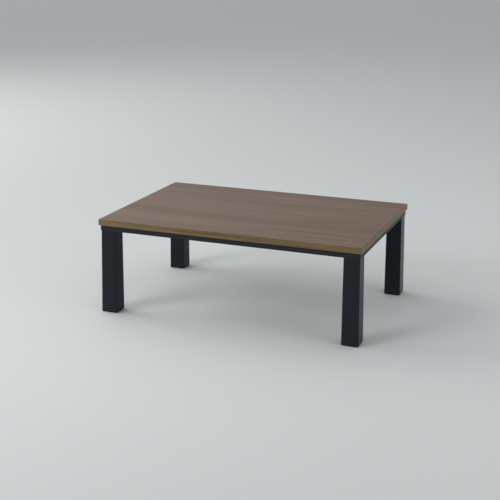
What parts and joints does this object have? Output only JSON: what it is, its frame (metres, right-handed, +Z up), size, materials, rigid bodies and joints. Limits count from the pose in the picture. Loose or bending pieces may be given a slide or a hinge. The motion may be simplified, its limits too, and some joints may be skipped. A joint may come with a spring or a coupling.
{
  "type": "kotatsu table",
  "caption": "Low rectangular kotatsu table with a lift-off walnut-print top, a black frame on square black legs, and a fan heater with quartz tubes under the middle.",
  "frame": {"origin": "on the floor under the middle of the table", "axes": "+X along the table's long side, +Y from the front to the back, +Z up"},
  "size_m": [1.2, 0.8, 0.43],
  "materials": {
    "top_laminate": "satin wood-print laminate",
    "edge_laminate": "satin wood-print edge band",
    "core_wood": "plain softwood",
    "core_paper": "plain",
    "backing_sheet": "plain backing sheet",
    "frame_black": "black stain, satin",
    "leg_black": "black lacquer, satin",
    "black_rubber": "matt",
    "grey_felt": "felt",
    "zinc_steel": "zinc plated",
    "brass_inserts": "machined",
    "case_steel": "galvanised sheet",
    "reflector_aluminium": "bright",
    "guard_black": "fine texture",
    "wire_black": "powder coat with short flock",
    "quartz": "clear quartz",
    "heater_coil": "oxidised resistance wire",
    "white_ceramic": "unglazed",
    "laminated_steel": "varnished laminations",
    "winding_tape": "taped winding",
    "bearing_bronze": "sintered",
    "fan_aluminium": "pressed sheet",
    "steel_shaft": "ground",
    "black_plastic": "moulded",
    "ivory_plastic": "moulded",
    "copper_leads": "copper bar"
  },
  "bodies": {
    "root": {"frame_rail_back": "frame_black", "frame_rail_front": "frame_black", "frame_rail_left": "frame_black", "frame_rail_right": "frame_black", "heater_beam_left": "frame_black", "heater_beam_right": "frame_black", "heater_tie_back": "frame_black", "heater_tie_front": "frame_black", "corner_blocks": "frame_black", "top_rubbers": "black_rubber", "leg_front_left": "leg_black", "leg_front_right": "leg_black", "leg_back_left": "leg_black", "leg_back_right": "leg_black", "foot_pads": "grey_felt", "leg_bolts": "zinc_steel", "leg_insert_nuts": "brass_inserts", "heater_case": "case_steel", "heater_reflector": "reflector_aluminium", "heater_guard_frame": "guard_black", "guard_wires": "wire_black", "guard_cross_wires": "wire_black", "case_screws": "zinc_steel", "guard_screws": "zinc_steel", "quartz_tubes": "quartz", "heating_coils": "heater_coil", "tube_ceramics": "white_ceramic", "tube_clips": "zinc_steel", "coil_link": "copper_leads", "coil_leads": "copper_leads", "inlet_leads": "copper_leads", "motor_bracket_upper": "zinc_steel", "motor_bracket_lower": "zinc_steel", "motor_bearings": "bearing_bronze", "motor_stack": "laminated_steel", "motor_winding": "winding_tape", "motor_screws": "zinc_steel", "motor_standoffs": "zinc_steel", "thermostat": "ivory_plastic", "thermal_fuse": "zinc_steel", "fuse_cradle": "white_ceramic", "terminal_block": "ivory_plastic", "inlet_housing": "black_plastic", "inlet_pins": "brass_inserts"},
    "tabletop": {"tabletop_top_sheet": "top_laminate", "tabletop_bottom_sheet": "backing_sheet", "edge_band_front": "edge_laminate", "edge_band_back": "edge_laminate", "edge_band_left": "edge_laminate", "edge_band_right": "edge_laminate", "core_long_battens": "core_wood", "core_end_battens": "core_wood", "core_cross_battens": "core_wood", "core_paper": "core_paper"},
    "fan": {"fan_wheel": "fan_aluminium", "fan_shaft": "steel_shaft", "motor_rotor": "laminated_steel"}
  },
  "joints": [
    {"name": "top_lift", "type": "slide", "parent": "root", "child": "tabletop", "axis": [0, 0, 1], "range_m": [0, 0.15]},
    {"name": "fan_spin", "type": "hinge", "parent": "root", "child": "fan", "pos_m": [0, 0, 0.38], "axis": [0, 0, 1], "continuous": true}
  ]
}
